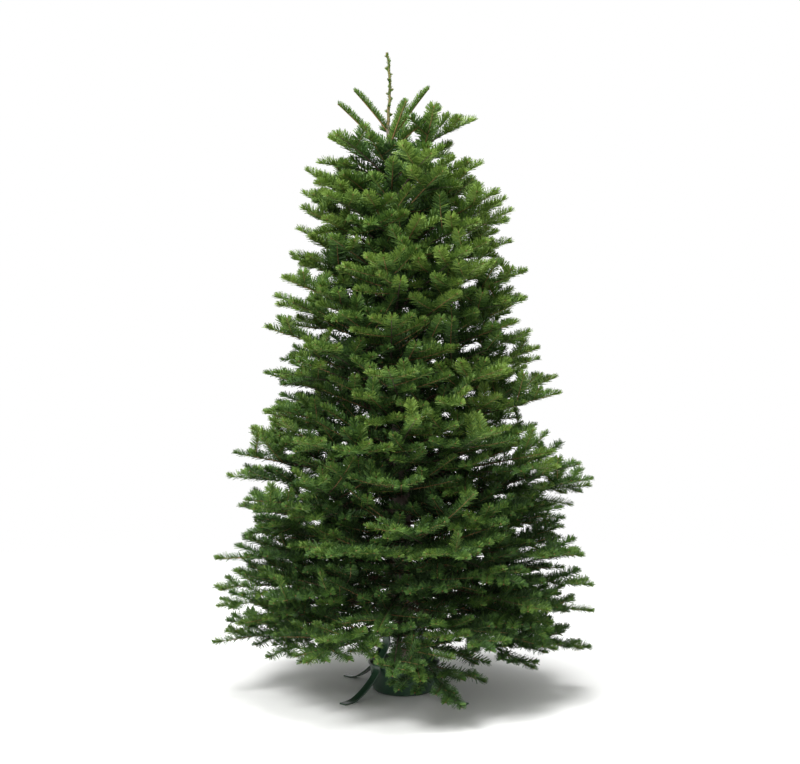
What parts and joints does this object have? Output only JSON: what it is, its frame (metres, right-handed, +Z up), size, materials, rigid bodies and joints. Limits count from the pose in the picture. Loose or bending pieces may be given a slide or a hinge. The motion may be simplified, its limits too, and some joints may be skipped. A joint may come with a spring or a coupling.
{
  "type": "christmas tree",
  "caption": "Cut fir Christmas tree, undecorated, with trunk, boughs and layered foliage, standing in a plain enamelled steel water stand",
  "frame": {"origin": "the middle of the stand's flat underside, on the floor", "axes": "+Z is up along the trunk, -Y is the front that the picture shows, +X is right in the picture"},
  "size_m": [1.2713, 1.3214, 2.2003],
  "materials": {
    "bark": "rough grey-brown bark",
    "foliage": "green needles on twigs",
    "enamel": "satin",
    "zinc": "satin zinc plating"
  },
  "bodies": {
    "root": {"trunk": "bark", "leader": "bark", "bough_7a": "bark", "bough_7b": "bark", "bough_7c": "bark", "bough_7d": "bark", "bough_7e": "bark", "bough_8a": "bark", "bough_8b": "bark", "bough_8c": "bark", "bough_8d": "bark", "bough_8e": "bark", "top_shoot_1": "foliage", "top_shoot_2": "foliage", "top_shoot_3": "foliage", "top_shoot_4": "foliage", "top_shoot_5": "foliage", "foliage_1a": "foliage", "foliage_1b": "foliage", "foliage_1c": "foliage", "foliage_1d": "foliage", "foliage_1e": "foliage", "foliage_2a": "foliage", "foliage_2b": "foliage", "foliage_2c": "foliage", "foliage_2d": "foliage", "foliage_3a": "foliage", "foliage_3b": "foliage", "foliage_3c": "foliage", "foliage_3d": "foliage", "foliage_4a": "foliage", "foliage_4b": "foliage", "foliage_4c": "foliage", "foliage_4d": "foliage", "foliage_5a": "foliage", "foliage_5b": "foliage", "foliage_5c": "foliage", "foliage_5d": "foliage", "foliage_5e": "foliage", "foliage_6a": "foliage", "foliage_6b": "foliage", "foliage_6c": "foliage", "foliage_6d": "foliage", "foliage_6e": "foliage", "foliage_7a": "foliage", "foliage_7b": "foliage", "foliage_7c": "foliage", "foliage_7d": "foliage", "foliage_7e": "foliage", "foliage_8a": "foliage", "foliage_8b": "foliage", "foliage_8c": "foliage", "foliage_8d": "foliage", "foliage_8e": "foliage", "stand_basin": "enamel", "stand_leg_1": "enamel", "stand_leg_2": "enamel", "stand_leg_3": "enamel", "stand_leg_4": "enamel", "stand_collar": "zinc"}
  },
  "joints": []
}
